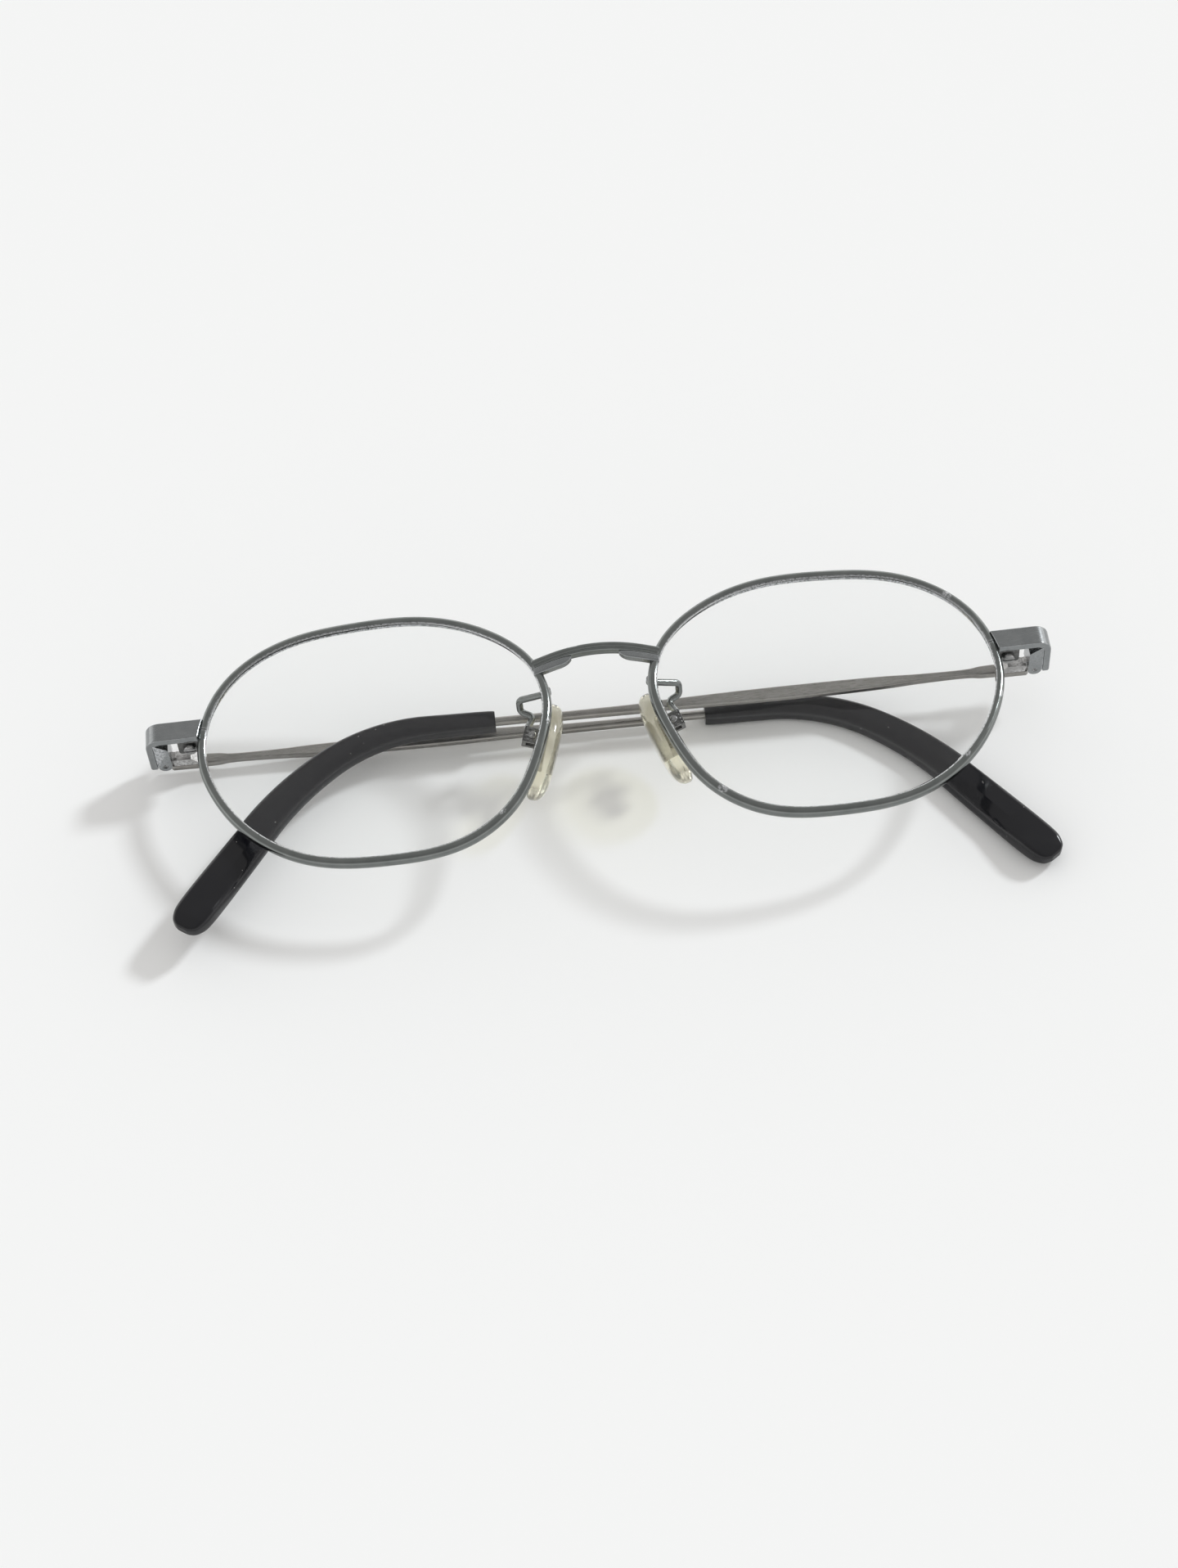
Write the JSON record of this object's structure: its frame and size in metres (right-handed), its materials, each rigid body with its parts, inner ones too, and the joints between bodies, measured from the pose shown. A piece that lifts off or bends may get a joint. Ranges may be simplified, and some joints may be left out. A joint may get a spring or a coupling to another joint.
{
  "type": "oval eyeglasses",
  "caption": "Oval wire-rim eyeglasses with an arched bridge, rocking nose pads and folding temples with plastic tips.",
  "frame": {"origin": "centre of the bounding box at the table the folded glasses lie on", "axes": "+X to the wearer's left, +Y up the lenses, +Z out of the front of the lenses, which face up"},
  "size_m": [0.1308, 0.0448, 0.0171],
  "materials": {
    "frame_metal": "satin gunmetal plating",
    "temple_metal": "satin gunmetal plating",
    "hinge_metal": "satin plating, brighter at the edges",
    "screw_steel": "plain turned steel",
    "insert_metal": "stamped steel inside clear plastic",
    "pad_clear": "clear soft plastic, a little yellowed",
    "lens_clear": "clear thin plastic lens",
    "tip_plastic": "polished near-black plastic"
  },
  "bodies": {
    "front": {"bridge": "frame_metal", "bridge_lugs": "frame_metal", "left_rim": "frame_metal", "left_lens": "lens_clear", "left_endpiece": "frame_metal", "left_rim_lock": "frame_metal", "left_rim_lock_screw": "screw_steel", "left_front_leaf": "hinge_metal", "left_hinge_screw": "screw_steel", "left_pad_arm": "frame_metal", "left_pad_box": "frame_metal", "left_pad_screw": "screw_steel", "right_rim": "frame_metal", "right_lens": "lens_clear", "right_endpiece": "frame_metal", "right_rim_lock": "frame_metal", "right_rim_lock_screw": "screw_steel", "right_front_leaf": "hinge_metal", "right_hinge_screw": "screw_steel", "right_pad_arm": "frame_metal", "right_pad_box": "frame_metal", "right_pad_screw": "screw_steel"},
    "right_temple": {"right_temple_bar": "temple_metal", "right_temple_leaf": "hinge_metal", "right_temple_tip": "tip_plastic"},
    "right_pad": {"right_pad_insert": "insert_metal", "right_nose_pad": "pad_clear"},
    "left_temple": {"left_temple_bar": "temple_metal", "left_temple_leaf": "hinge_metal", "left_temple_tip": "tip_plastic"},
    "left_pad": {"left_pad_insert": "insert_metal", "left_nose_pad": "pad_clear"}
  },
  "joints": [
    {"name": "right_temple_hinge", "type": "hinge", "parent": "front", "child": "right_temple", "pos_m": [-0.06319, 0.00931, 0.00358], "axis": [0, 1, 0], "range_deg": [0, 88.6]},
    {"name": "left_temple_hinge", "type": "hinge", "parent": "front", "child": "left_temple", "pos_m": [0.06328, 0.00931, 0.00667], "axis": [0, -1, 0], "range_deg": [0, 91.4]},
    {"name": "right_pad_rock", "type": "hinge", "parent": "front", "child": "right_pad", "pos_m": [-0.0103, 0.00343, 0.00758], "axis": [0.0797, -0.2624, 0.9617], "range_deg": [-10, 10]},
    {"name": "left_pad_rock", "type": "hinge", "parent": "front", "child": "left_pad", "pos_m": [0.01025, 0.00343, 0.00808], "axis": [-0.1266, -0.2624, 0.9566], "range_deg": [-10, 10]}
  ]
}
